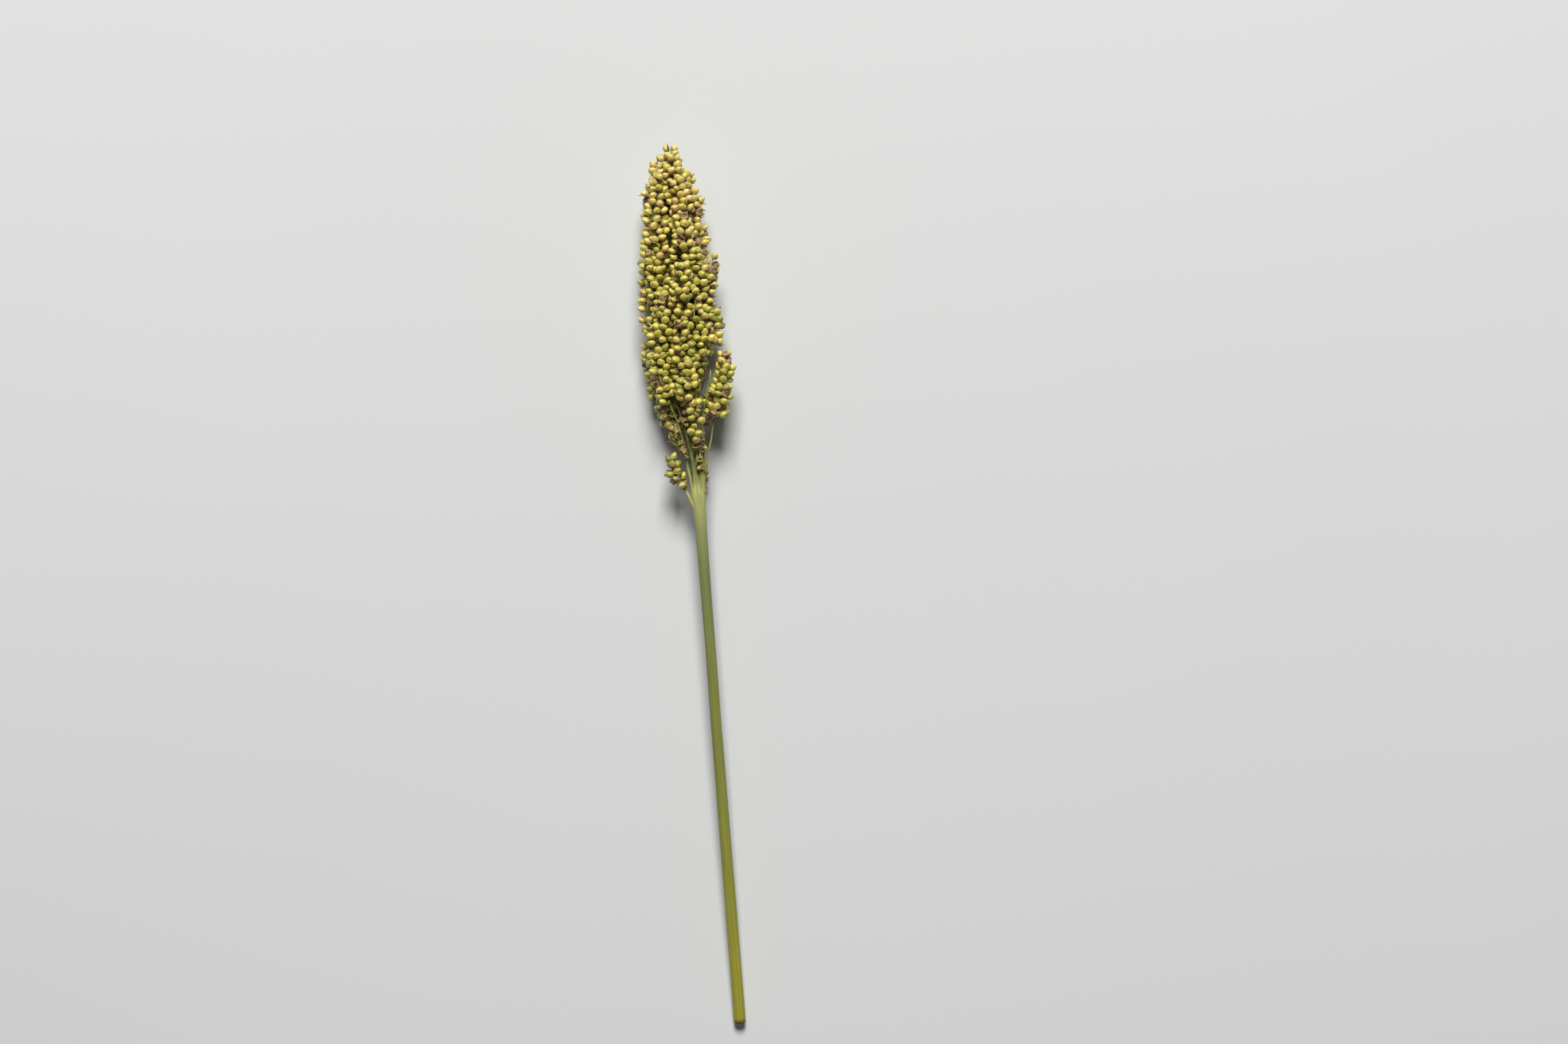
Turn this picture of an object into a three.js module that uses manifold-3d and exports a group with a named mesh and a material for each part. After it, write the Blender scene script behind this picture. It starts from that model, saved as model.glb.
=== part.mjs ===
// A cut sorghum seed head lying on its side: the stem with its rachis and bare branch stalks, the dense
// head of seed clusters round it, and three loose sprays, one on the right and two low ones. Millimetres.
// X runs across the head, Y along it from the cut end to the tip, Z is up. The head lies on a small flat
// spot of its underside, and the cut end touches the same surface.

import * as THREE from "three";
import { mergeVertices } from "three/addons/utils/BufferGeometryUtils.js";
import Module from "manifold-3d";

const wasm = await Module();
wasm.setup();

// Main sizes
const stemLength = 289; // cut end to base node
const headLength = 190; // base node to tip
const headHalfWidth = 20;
const headHeight = 19; // axis of the head over the surface it lies on
const headBow = 3.6; // sideways bow of the rachis
const bowSpan = 215; // the bow would come straight again this far along
const pressed = 1.2; // how far the underside is pressed flat
const clearance = 0.3; // gap between a stalk and the grains round it

// Outline of the dense head, in distances along it
const footLength = 46; // its round foot
const fullFrom = 60; // where the foot reaches the full width
const taperFrom = 95; // where the taper to the tip begins

// Stem, base node and rachis: distance along from the base node, and radius there
const stemSections = [
  [-289, 3.15], [-245, 3.1], [-200, 3.0], [-155, 2.9], [-110, 2.85], [-65, 2.85], [-25, 3.0], [-7, 3.2],
  [-2, 3.8], [1.5, 4.0], [5, 3.4], [14, 2.9], [35, 2.7], [62, 2.4], [90, 2.0], [120, 1.6], [145, 1.2],
  [162, 0.9],
];
const stemSides = 10;

// Bare branch stalks, each from the rachis into the foot of its cluster or spray
const stalkRadius = 0.75;
const stalkSides = 5;
const stalkSteps = 6;
const stalkRoot = 1; // where the lowest clusters' stalks leave the rachis
const stalkRise = 26; // how far below a spray its stalk leaves the rachis
const stalkRootOut = 2.4;
const stalkBendOut = 3.8;
const stalkBendShare = 0.45; // of the stalk's height, below its bend
const stalkDepth = 0.25; // how far up into a cluster its stalk goes

// Seed clusters of the dense head, in tiers from its foot to its tip
const tiers = [
  { start: 30, count: 6, length: 44, radius: 7.4 },
  { start: 52, count: 6, length: 43, radius: 7.6 },
  { start: 74, count: 6, length: 41, radius: 7.5 },
  { start: 95, count: 6, length: 39, radius: 7.2 },
  { start: 115, count: 5, length: 36, radius: 7.0 },
  { start: 133, count: 5, length: 33, radius: 6.5 },
  { start: 147, count: 4, length: 31, radius: 6.0 },
  { start: 159, count: 3, length: 29, radius: 5.0 },
];
const tipCluster = { start: 160, end: headLength, radius: 6.2 };
const headSeed = 11;
const coreInset = 8; // the clusters stand out of a core this far inside the head's outline
const coreLeast = 3.4; // least radius of that core

// How a cluster's place and size are drawn, and how it stands off the rachis
const aroundDraw = 0.12; // as a share of a whole turn over the number of clusters in the tier
const startDraw = 4;
const lengthDraw = 0.12;
const radiusDraw = 0.07;
const tipDraw = 2.2;
const tipMargin = 4; // clusters end at least this far below the head's tip
const footInset = 3.5; // a cluster's foot lies this much deeper than its middle
const footNearest = 1.5;
const middleBow = 0.8; // a spray's middle is bowed outwards by this

// A cluster's outline follows this part of a half wave, filled out by a power
const spindleFoot = 0.18;
const spindleSpan = 0.76;
const spindlePower = 0.6;

// Stretches of the head's surface, with the grains round each ring fewer towards the tip
const stretches = [
  { from: 27, to: 133, grains: 17 },
  { from: 131, to: 164, grains: 12 },
  { from: 162, to: headLength, grains: 7 },
];
const grainRow = 4.7; // from one ring of grains to the next
const grainPitch = 5.6; // from one grain to the next round a spray
const grainRelief = 3.4; // pits between grains, under the grains' tops
const shoulderDrop = 1.3; // shoulders of a grain, under its top
const shoulderShare = 0.6; // how much a shoulder follows its own grain, rather than the cluster there
const shoulderSpread = 0.28; // how far a grain's shoulders swell towards its neighbours, in columns
const grainLean = 0.7; // grains point to the tip of the head by this much
const grainDrift = 0.22; // draw in a grain's place, in columns
const grainSwell = 0.6; // draw in how far out a grain stands
const rowWave = 0.8; // waviness of the rings of grains
const wavesRound = 3;
const waveTurn = 0.4; // turn of the waves from one row to the next, in radians
const leastRadius = 0.6;
const headTipRise = 1.5; // how far a body's pointed end stands over its last row
const sprayTipRise = 2;

// Clusters that stand out of the dense head, and sprays that are loose from it: start and end along the
// head, way they point (degrees, 0 to the right and 90 to the top), distance from the rachis, radius
const outstanding = [
  { start: 96, end: 129, around: 8, footOut: 10, tipOut: 22, radius: 6.2 },
  { start: 66, end: 101, around: -6, footOut: 10, tipOut: 21, radius: 6.4 },
  { start: 27, end: 47, around: 62, footOut: 6, tipOut: 12, radius: 6.0 },
  { start: 140, end: 172, around: 176, footOut: 6, tipOut: 14, radius: 5.6 },
  { start: 52, end: 86, around: 200, footOut: 10, tipOut: 20, radius: 6.6 },
];
const looseSprays = {
  spray_right: { start: 34, end: 77, around: 14, footOut: 13, tipOut: 25, radius: 6.6 },
  spray_low_left: { start: 6, end: 24, around: 172, footOut: 9, tipOut: 14, radius: 5.4 },
  spray_low_under: { start: 5, end: 23, around: -78, footOut: 9, tipOut: 13, radius: 5.0 },
};
const sprayGap = 2.5; // the dense head gives way to a loose spray by this much

const groundSize = [200, 700, 60];
const nearby = 0.01; // step along a line to find its direction
const up = new THREE.Vector3(0, 0, 1);

// Seeded draws, so that the head grows the same way each time
function makeDraw(seed) {
  let state = seed;
  return (low, high) => {
    state = (Math.imul(state, 1664525) + 1013904223) >>> 0;
    return low + (high - low) * (state / 4294967296);
  };
}

// The plant's own axis: level through the head, sagging from there down to the cut end
function axisPoint(along) {
  const y = along + (stemLength - headLength) / 2;
  if (along >= 0) {
    return new THREE.Vector3(-headBow * Math.sin((Math.PI * along) / bowSpan), y, headHeight);
  }
  const drop = headHeight - stemSections[0][1];
  return new THREE.Vector3(0, y, headHeight - drop * (along / stemLength) ** 2);
}

function placeAround(along, around, out) {
  const point = axisPoint(along);
  point.x += Math.cos(around) * out;
  point.z += Math.sin(around) * out;
  return point;
}

// Half width of the dense head: round at the foot, long taper to the tip
function headWidth(along) {
  if (along < fullFrom) {
    const t = Math.min(1, (fullFrom - along) / footLength);
    return headHalfWidth * Math.sqrt(1 - t * t);
  }
  const t = Math.min(1, Math.max(0, (along - taperFrom) / (headLength - taperFrom)));
  return headHalfWidth * Math.sqrt(1 - t ** 3);
}

// Radius of a cluster or spray from its foot (0) to its tip (1)
function spindle(radius, t) {
  return radius * Math.sin(Math.PI * (spindleFoot + spindleSpan * t)) ** spindlePower;
}

// Each cluster of the dense head: where it starts and ends, its way, its radius, and how far its foot,
// middle and tip stand from the rachis
function growClusters() {
  const draw = makeDraw(headSeed);
  const clusters = [];
  for (const tier of tiers) {
    const turn = draw(0, 2 * Math.PI);
    for (let i = 0; i < tier.count; i += 1) {
      const around = turn + (2 * Math.PI * (i + draw(-aroundDraw, aroundDraw))) / tier.count;
      const start = tier.start + draw(-startDraw, startDraw);
      const length = tier.length * draw(1 - lengthDraw, 1 + lengthDraw);
      const end = Math.min(headLength - tipMargin, start + length);
      const radius = tier.radius * draw(1 - radiusDraw, 1 + radiusDraw);
      const footOut = Math.max(footNearest, headWidth(start) - radius - footInset);
      const middleOut = Math.max(0, headWidth((start + end) / 2) - radius);
      const tipOut = Math.max(0, headWidth(end) - radius / 2) + draw(0, tipDraw);
      clusters.push({ start, end, around, radius, footOut, middleOut, tipOut });
    }
  }
  const { start, end, radius } = tipCluster;
  clusters.push({ start, end, around: 0, radius, footOut: 0, middleOut: 0, tipOut: 0 });
  return [...clusters, ...outstanding.map(pointed)];
}

// A cluster or spray given by its foot and tip: its way in radians, its middle bowed out a little
function pointed(spray) {
  const around = THREE.MathUtils.degToRad(spray.around);
  return { ...spray, around, middleOut: (spray.footOut + spray.tipOut) / 2 + middleBow };
}

// Distance of a cluster's own axis from the rachis
function clusterOut(cluster, t) {
  const bend = 2 * cluster.middleOut - (cluster.footOut + cluster.tipOut) / 2;
  return (1 - t) ** 2 * cluster.footOut + 2 * t * (1 - t) * bend + t * t * cluster.tipOut;
}

// Where a ray from the rachis enters and leaves a cluster, if it meets it
function crossing(cluster, along, around, margin) {
  const t = (along - cluster.start) / (cluster.end - cluster.start);
  const radius = spindle(cluster.radius, Math.min(1, Math.max(0, t))) + margin;
  const out = clusterOut(cluster, t);
  const aside = out * Math.sin(around - cluster.around);
  const past = Math.max(0, -t, t - 1) * (cluster.end - cluster.start);
  const half = radius ** 2 - aside ** 2 - past ** 2;
  const middle = out * Math.cos(around - cluster.around);
  return half > 0 && middle > 0 ? [middle - Math.sqrt(half), middle + Math.sqrt(half)] : null;
}

// How far out the clusters reach in one direction at one place along the head
function reach(clusters, sprays, along, around) {
  let far = Math.max(coreLeast, headWidth(along) - coreInset);
  for (const cluster of clusters) {
    const met = crossing(cluster, along, around, 0);
    if (met) far = Math.max(far, met[1]);
  }
  for (const spray of sprays) {
    const met = crossing(spray, along, around, sprayGap);
    if (met) far = Math.min(far, Math.max(coreLeast, met[0]));
  }
  return far;
}

// A closed three.js shape becomes a solid that can be joined and cut
function toSolid(geometry) {
  geometry.deleteAttribute("normal");
  geometry.deleteAttribute("uv");
  const merged = mergeVertices(geometry, 1e-5);
  return new wasm.Manifold(new wasm.Mesh({
    numProp: 3,
    vertProperties: new Float32Array(merged.attributes.position.array),
    triVerts: new Uint32Array(merged.index.array),
  }));
}

function toMesh(name, solid, material) {
  const { vertProperties, triVerts } = solid.getMesh();
  const geometry = new THREE.BufferGeometry();
  geometry.setAttribute("position", new THREE.BufferAttribute(vertProperties, 3));
  geometry.setIndex(new THREE.BufferAttribute(triVerts, 1));
  geometry.computeVertexNormals();
  const mesh = new THREE.Mesh(geometry, material);
  mesh.name = name;
  return mesh;
}

// A point beside a line: its way round it, distance from it, and push along it
function bendOnto(centreAt, t, around, radius, push) {
  const ahead = centreAt(t + nearby).sub(centreAt(t - nearby)).normalize();
  const front = up.clone().addScaledVector(ahead, -up.dot(ahead)).normalize();
  const side = ahead.clone().cross(front);
  return centreAt(t)
    .addScaledVector(side, Math.cos(around) * radius)
    .addScaledVector(front, Math.sin(around) * radius)
    .addScaledVector(ahead, push);
}

// A round body along a line, with sections of a place on the line and a radius, or a fatter one to cut
// its hole with
function roundBody({ centreAt, sections, sides }, grow) {
  const last = sections.length - 1;
  const profile = [new THREE.Vector2(0, 0)];
  sections.forEach(([, radius], row) => profile.push(new THREE.Vector2(radius + grow, row)));
  profile.push(new THREE.Vector2(0, last));
  const geometry = new THREE.LatheGeometry(profile, sides);
  const position = geometry.attributes.position;
  for (let i = 0; i < position.count; i += 1) {
    const row = Math.round(position.getY(i));
    const push = row === 0 ? -grow : row === last ? grow : 0;
    const around = Math.atan2(position.getZ(i), position.getX(i));
    const radius = Math.hypot(position.getX(i), position.getZ(i));
    const spot = bendOnto(centreAt, sections[row][0], around, radius, push);
    position.setXYZ(i, spot.x, spot.y, spot.z);
  }
  return toSolid(geometry);
}

// Where a grain's top lies from each place of its patch, three columns by three rows of a lathe shape:
// its own top, six shoulders round it, and two pits that it shares with its neighbours
const grainPatch = {
  "0,0": [0, 0],
  "1,0": [-1, 0],
  "2,0": [1, 0],
  "0,1": [0, -1],
  "0,2": [0, 1],
  "1,2": [-1, 1],
  "2,1": [1, -1],
};

// A body whose surface is raised into grains packed like roe: each row of columns is turned by half a
// column, so that the grains of one ring stand between those of the next
function grainBody(centreAt, radiusAt, length, grains, tipRise, draw) {
  const rings = Math.max(1, Math.round(length / grainRow));
  const rows = 3 * rings;
  const columns = 3 * grains;
  const profile = [new THREE.Vector2(0, 0)];
  for (let row = 0; row <= rows; row += 1) profile.push(new THREE.Vector2(1, row));
  profile.push(new THREE.Vector2(0, rows));
  const geometry = new THREE.LatheGeometry(profile, columns);
  const oneDrift = () => [draw(-1, 1), draw(-1, 1), draw(-1, 1)];
  const drift = Array.from({ length: grains * (rings + 1) }, oneDrift);
  const position = geometry.attributes.position;
  const aroundOf = (column, row) => Math.PI / 2 - (2 * Math.PI * (column + row / 2)) / columns;
  for (let i = 0; i < position.count; i += 1) {
    const slot = i % profile.length;
    const isPole = slot === 0 || slot === profile.length - 1;
    let column = Math.floor(i / profile.length) % columns;
    let row = Math.min(rows, Math.max(0, slot - 1));
    let radius = radiusAt(row / rows, aroundOf(column, row)) - grainRelief;
    let lean = 0;
    const top = grainPatch[`${column % 3},${row % 3}`];
    if (top && !isPole) {
      const [aside, beyond] = top;
      const topColumn = column + aside;
      const topRow = Math.min(rows, Math.max(0, row + beyond));
      const number = (topRow / 3) * grains + ((topColumn + columns) % columns) / 3;
      const [sideways, onward, out] = drift[number];
      const isTop = aside === 0 && beyond === 0;
      const far = radiusAt(topRow / rows, aroundOf(topColumn, topRow)) + out * grainSwell;
      const own = shoulderShare * (far - shoulderDrop);
      const general = (1 - shoulderShare) * (radius + grainRelief - shoulderDrop);
      radius = isTop ? far : own + general;
      lean = isTop ? grainLean : grainLean / 2;
      column += sideways * grainDrift - aside * shoulderSpread;
      row += onward * grainDrift - beyond * shoulderSpread;
    }
    const t = row / rows;
    let push = lean + rowWave * Math.sin(wavesRound * aroundOf(column, row) + waveTurn * row);
    radius = Math.max(leastRadius, radius);
    if (isPole) {
      radius = 0;
      push = slot > 0 ? tipRise : 0;
    }
    const spot = bendOnto(centreAt, t, aroundOf(column, row), radius, push);
    position.setXYZ(i, spot.x, spot.y, spot.z);
  }
  return toSolid(geometry);
}

// The dense head: stretches of grains laid over the reach of its clusters, with the underside pressed
function denseHead(clusters, sprays, draw) {
  return stretches.map(({ from, to, grains }) => {
    const span = to - from;
    const radiusAt = (t, around) => {
      const far = reach(clusters, sprays, from + t * span, around);
      const down = -Math.sin(around);
      return down > 0 ? Math.min(far, (headHeight + pressed) / down) : far;
    };
    const centreAt = (t) => axisPoint(from + t * span);
    return grainBody(centreAt, radiusAt, span, grains, headTipRise, draw);
  });
}

function alongCluster(cluster, t) {
  const along = cluster.start + t * (cluster.end - cluster.start);
  return placeAround(along, cluster.around, clusterOut(cluster, t));
}

// A loose spray: one body of grains along its own axis
function sprayBody(spray, draw) {
  const grains = Math.round((2 * Math.PI * (spray.radius - 1)) / grainPitch);
  const radiusAt = (t) => spindle(spray.radius, t);
  const centreAt = (t) => alongCluster(spray, Math.min(1, t));
  return grainBody(centreAt, radiusAt, spray.end - spray.start, grains, sprayTipRise, draw);
}

// The clusters whose stalks show bare, and where their stalks leave the rachis
function stalked(clusters, sprays) {
  const low = clusters.slice(0, tiers[0].count).map((cluster) => ({ cluster, root: stalkRoot }));
  const loose = sprays.map((spray) => ({ cluster: spray, root: Math.max(0, spray.start - stalkRise) }));
  return [...low, ...loose];
}

// All that is stem: the stem itself, and a bare stalk to each low cluster and spray
function stemBodies(clusters, sprays) {
  const bodies = [{ centreAt: axisPoint, sections: stemSections, sides: stemSides }];
  for (const { cluster, root } of stalked(clusters, sprays)) {
    const end = alongCluster(cluster, stalkDepth);
    const low = placeAround(root, cluster.around, stalkRootOut);
    const bend = placeAround(root, cluster.around, stalkBendOut);
    bend.y += (end.y - low.y) * stalkBendShare;
    const curve = new THREE.QuadraticBezierCurve3(low, bend, end);
    bodies.push({
      centreAt: (t) => curve.getPoint(t),
      sections: Array.from({ length: stalkSteps + 1 }, (_, step) => [step / stalkSteps, stalkRadius]),
      sides: stalkSides,
    });
  }
  return bodies;
}

// Keeps the main body of a solid and drops scraps left by a cut
function mainBody(solid) {
  return solid.decompose().sort((a, b) => b.volume() - a.volume())[0];
}

const clusters = growClusters();
const sprays = Object.values(looseSprays).map(pointed);
const draw = makeDraw(headSeed + 1);
const ground = toSolid(new THREE.BoxGeometry(...groundSize).translate(0, 0, -groundSize[2] / 2));
const stemParts = stemBodies(clusters, sprays);
const stem = wasm.Manifold.union(stemParts.map((part) => roundBody(part, 0)));
const stemHoles = wasm.Manifold.union(stemParts.map((part) => roundBody(part, clearance)));
const head = wasm.Manifold.union(denseHead(clusters, sprays, draw)).subtract(ground).subtract(stemHoles);

const green = new THREE.MeshStandardMaterial({ color: 0x7f9350, roughness: 0.55 });
const seedYellow = new THREE.MeshStandardMaterial({ color: 0xb9b350, roughness: 0.45 });

const group = new THREE.Group();
group.add(toMesh("stem", mainBody(stem), green));
group.add(toMesh("seed_head", mainBody(head), seedYellow));
Object.keys(looseSprays).forEach((name, i) => {
  const body = sprayBody(sprays[i], draw).subtract(ground).subtract(stemHoles);
  group.add(toMesh(name, mainBody(body), seedYellow));
});

export default group;
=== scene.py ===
import math
import bmesh
import bpy
from mathutils import Matrix, Vector, kdtree, noise


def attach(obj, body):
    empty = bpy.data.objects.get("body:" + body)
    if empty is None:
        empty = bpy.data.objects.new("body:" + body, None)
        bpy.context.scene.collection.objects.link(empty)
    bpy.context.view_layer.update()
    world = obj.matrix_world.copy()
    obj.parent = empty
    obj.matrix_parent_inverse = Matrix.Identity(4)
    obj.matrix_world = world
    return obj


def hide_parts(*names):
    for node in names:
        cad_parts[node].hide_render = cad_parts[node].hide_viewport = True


# A cut sorghum seed head lying on its side, seen from straight above. Shapes are worked out in
# millimetres along the plant's own axis, and each finished mesh is turned to metres.

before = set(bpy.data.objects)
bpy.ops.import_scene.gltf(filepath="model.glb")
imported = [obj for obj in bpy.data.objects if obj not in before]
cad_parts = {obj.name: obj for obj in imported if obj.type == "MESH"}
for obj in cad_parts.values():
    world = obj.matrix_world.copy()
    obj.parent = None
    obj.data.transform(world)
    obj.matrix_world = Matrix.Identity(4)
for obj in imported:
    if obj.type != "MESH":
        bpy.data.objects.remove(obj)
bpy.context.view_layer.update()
mm = 0.001
up = Vector((0, 0, 1))
scene = bpy.context.scene
print("frame loaded")


# View and light

view = {
    "lean": -4.4,              # degrees: the head leans a little to the left as it goes up the picture
    "middle": (0.045, 0.031),  # point of the floor at the middle of the picture
    "distance": 1.55,
    "lens": 65,
    "farthest": 20,            # how far the camera sees
    "lightsAim": (0, 0.1, 0),
    "skyColour": (0.9, 0.94, 1.0, 1),
    "skyStrength": 0.045,
    "floorSize": 8,
}
softLights = [
    {"name": "window", "place": (0.3, 3.4, 3.7), "size": 1.95, "power": 322, "colour": (1, 0.985, 0.955)},
    {"name": "overhead", "place": (-0.4, 0.2, 1.9), "size": 1.5, "power": 1.6, "colour": (0.97, 0.985, 1)},
    {"name": "fill", "place": (0.9, -0.9, 0.9), "size": 1.2, "power": 0.3, "colour": (1, 1, 1)},
]


def makeCamera():
    lens = bpy.data.cameras.new("camera")
    lens.lens = view["lens"]
    lens.clip_end = view["farthest"]
    camera = bpy.data.objects.new("camera", lens)
    camera.location = (*view["middle"], view["distance"])
    camera.rotation_euler = (0, 0, math.radians(view["lean"]))
    scene.collection.objects.link(camera)
    scene.camera = camera


def makeLights():
    for light in softLights:
        lamp = bpy.data.lights.new(light["name"], "AREA")
        lamp.size = light["size"]
        lamp.energy = light["power"]
        lamp.color = light["colour"]
        lampObject = bpy.data.objects.new(light["name"], lamp)
        lampObject.location = light["place"]
        aim = Vector(view["lightsAim"]) - lampObject.location
        lampObject.rotation_euler = aim.to_track_quat("-Z", "Y").to_euler()
        scene.collection.objects.link(lampObject)
    sky = bpy.data.worlds.new("sky")
    sky.use_nodes = True
    background = sky.node_tree.nodes["Background"]
    background.inputs["Color"].default_value = view["skyColour"]
    background.inputs["Strength"].default_value = view["skyStrength"]
    scene.world = sky
    scene.view_settings.view_transform = "Standard"


# Material helpers

def rgb(red, green, blue):  # screen values, 0 to 255, as the linear ones that a node takes
    linear = [((c / 255 + 0.055) / 1.055) ** 2.4 if c > 10 else c / 255 / 12.92 for c in (red, green, blue)]
    return (*linear, 1)


def plug(tree, value, socket):
    if isinstance(value, bpy.types.NodeSocket):
        tree.links.new(value, socket)
    else:
        socket.default_value = value


def startMaterial(name, roughness):
    material = bpy.data.materials.new(name)
    material.use_nodes = True
    surface = material.node_tree.nodes["Principled BSDF"]
    surface.inputs["Roughness"].default_value = roughness
    return material, material.node_tree, surface


def attribute(tree, name, output="Fac"):
    reader = tree.nodes.new("ShaderNodeAttribute")
    reader.attribute_name = name
    return reader.outputs[output]


def objectPlace(tree):
    return tree.nodes.new("ShaderNodeTexCoord").outputs["Object"]


def lengthwise(tree, place):
    parts = tree.nodes.new("ShaderNodeSeparateXYZ")
    plug(tree, place, parts.inputs[0])
    return parts.outputs["Y"]


def stretched(tree, place, scale):
    mapping = tree.nodes.new("ShaderNodeMapping")
    mapping.inputs["Scale"].default_value = scale
    plug(tree, place, mapping.inputs["Vector"])
    return mapping.outputs["Vector"]


def noiseOn(tree, place, scale, detail, roughness=0.5):
    cloud = tree.nodes.new("ShaderNodeTexNoise")
    plug(tree, place, cloud.inputs["Vector"])
    cloud.inputs["Scale"].default_value = scale
    cloud.inputs["Detail"].default_value = detail
    cloud.inputs["Roughness"].default_value = roughness
    return cloud.outputs["Fac"]


def spotsOn(tree, place, scale):
    cells = tree.nodes.new("ShaderNodeTexVoronoi")
    plug(tree, place, cells.inputs["Vector"])
    cells.inputs["Scale"].default_value = scale
    return cells.outputs["Distance"]


def between(tree, value, low, high, lowTo=0.0, highTo=1.0):
    span = tree.nodes.new("ShaderNodeMapRange")
    plug(tree, value, span.inputs["Value"])
    span.inputs["From Min"].default_value = low
    span.inputs["From Max"].default_value = high
    span.inputs["To Min"].default_value = lowTo
    span.inputs["To Max"].default_value = highTo
    return span.outputs["Result"]


def combine(tree, operation, first, second):
    result = tree.nodes.new("ShaderNodeMath")
    result.operation = operation
    plug(tree, first, result.inputs[0])
    plug(tree, second, result.inputs[1])
    return result.outputs[0]


def mixColour(tree, factor, first, second):
    mix = tree.nodes.new("ShaderNodeMix")
    mix.data_type = "RGBA"
    plug(tree, factor, mix.inputs[0])
    plug(tree, first, mix.inputs[6])
    plug(tree, second, mix.inputs[7])
    return mix.outputs[2]


def tinge(tree, value, none, full, most, under, colour):  # from no colour to most of it
    return mixColour(tree, between(tree, value, none, full, 0.0, most), under, colour)


def colourRamp(tree, factor, stops):
    ramp = tree.nodes.new("ShaderNodeValToRGB")
    plug(tree, factor, ramp.inputs["Fac"])
    for position, colour in stops[2:]:
        ramp.color_ramp.elements.new(position)
    for element, (position, colour) in zip(ramp.color_ramp.elements, stops):
        element.position = position
        element.color = colour
    return ramp.outputs["Color"]


def bumpOn(tree, surface, height, depth):
    bump = tree.nodes.new("ShaderNodeBump")
    bump.inputs["Distance"].default_value = depth
    plug(tree, height, bump.inputs["Height"])
    plug(tree, bump.outputs["Normal"], surface.inputs["Normal"])


# Floor

def meshOf(bm, name):
    mesh = bpy.data.meshes.new(name)
    bm.to_mesh(mesh)
    bm.free()
    return mesh


def makeFloor():
    bm = bmesh.new()
    bmesh.ops.create_grid(bm, x_segments=2, y_segments=2, size=view["floorSize"] / 2)
    mesh = meshOf(bm, "floor")
    floor = bpy.data.objects.new("floor", mesh)
    scene.collection.objects.link(floor)
    material, tree, surface = startMaterial("paleCard", 0.75)
    cloud = noiseOn(tree, objectPlace(tree), 1.6, 3)
    plug(tree, mixColour(tree, cloud, rgb(212, 214, 215), rgb(219, 221, 222)), surface.inputs["Base Color"])
    mesh.materials.append(material)


makeCamera()
makeLights()
makeFloor()
print("camera, lights and floor made")


# The plant's own measures, in millimetres: the head's length runs from its base node to its tip

plant = {
    "stemLength": 289,
    "headLength": 190,
    "headHalfWidth": 20,
    "headHeight": 19,    # of the head's axis, above the surface it lies on
    "headBow": 3.6,      # to the left, over the bow's length
    "bowLength": 215,
    "widest": (60, 95),  # the head has its full width between these distances from the base node,
    "rounding": 46,      # and narrows over this length below them
    "seed": 11,
}
tiers = [
    {"start": 30, "count": 6, "length": 44, "radius": 7.4},
    {"start": 52, "count": 6, "length": 43, "radius": 7.6},
    {"start": 74, "count": 6, "length": 41, "radius": 7.5},
    {"start": 95, "count": 6, "length": 39, "radius": 7.2},
    {"start": 115, "count": 5, "length": 36, "radius": 7.0},
    {"start": 133, "count": 5, "length": 33, "radius": 6.5},
    {"start": 147, "count": 4, "length": 31, "radius": 6.0},
    {"start": 159, "count": 3, "length": 29, "radius": 5.0},
]
tipCluster = {"start": 160, "end": 190, "radius": 6.2, "crown": 2}  # with two grains on top
outstanding = [
    {"start": 96, "end": 129, "around": 8, "footOut": 10, "tipOut": 22, "radius": 6.2},
    {"start": 66, "end": 101, "around": -6, "footOut": 10, "tipOut": 21, "radius": 6.4},
    {"start": 27, "end": 47, "around": 62, "footOut": 6, "tipOut": 12, "radius": 6.0},
    {"start": 140, "end": 172, "around": 176, "footOut": 6, "tipOut": 14, "radius": 5.6},
    {"start": 52, "end": 86, "around": 200, "footOut": 10, "tipOut": 20, "radius": 6.6},
    {"start": 165, "end": 187, "around": 75, "footOut": 2, "tipOut": 3.2, "radius": 5.2},
    {"start": 164, "end": 186, "around": 255, "footOut": 2, "tipOut": 3.0, "radius": 5.2},
]
looseSprays = {
    "spray_right": {"start": 34, "end": 77, "around": 14, "footOut": 13, "tipOut": 25, "radius": 6.6,
                    "bareFoot": 0.16},
    "spray_low_left": {"start": 6, "end": 24, "around": 172, "footOut": 9, "tipOut": 14, "radius": 5.4},
    "spray_low_under": {"start": 5, "end": 23, "around": -78, "footOut": 9, "tipOut": 13, "radius": 5.0},
}


noise.seed_set(plant["seed"])  # noise vectors would start from the clock without it


chain = {"times": 1664525, "plus": 1013904223, "span": 2 ** 32}  # how each drawn number follows the last


def makeDraw(seed):
    state = seed

    def draw(low, high):
        nonlocal state
        state = (state * chain["times"] + chain["plus"]) % chain["span"]
        return low + (high - low) * state / chain["span"]

    return draw


def axisPoint(along):
    y = along + (plant["stemLength"] - plant["headLength"]) / 2
    if along >= 0:
        bow = plant["headBow"] * math.sin(math.pi * along / plant["bowLength"])
        return Vector((-bow, y, plant["headHeight"]))
    drop = plant["headHeight"] - stem["restHeight"]
    return Vector((0, y, plant["headHeight"] - drop * (along / plant["stemLength"]) ** 2))


def placeAround(along, around, out):
    return axisPoint(along) + Vector((math.cos(around) * out, 0, math.sin(around) * out))


def headWidth(along):
    low, high = plant["widest"]
    if along < low:
        t = min(1, (low - along) / plant["rounding"])
        return plant["headHalfWidth"] * math.sqrt(1 - t * t)
    t = min(1, max(0, (along - high) / (plant["headLength"] - high)))
    return plant["headHalfWidth"] * math.sqrt(1 - t ** 3)


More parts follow.
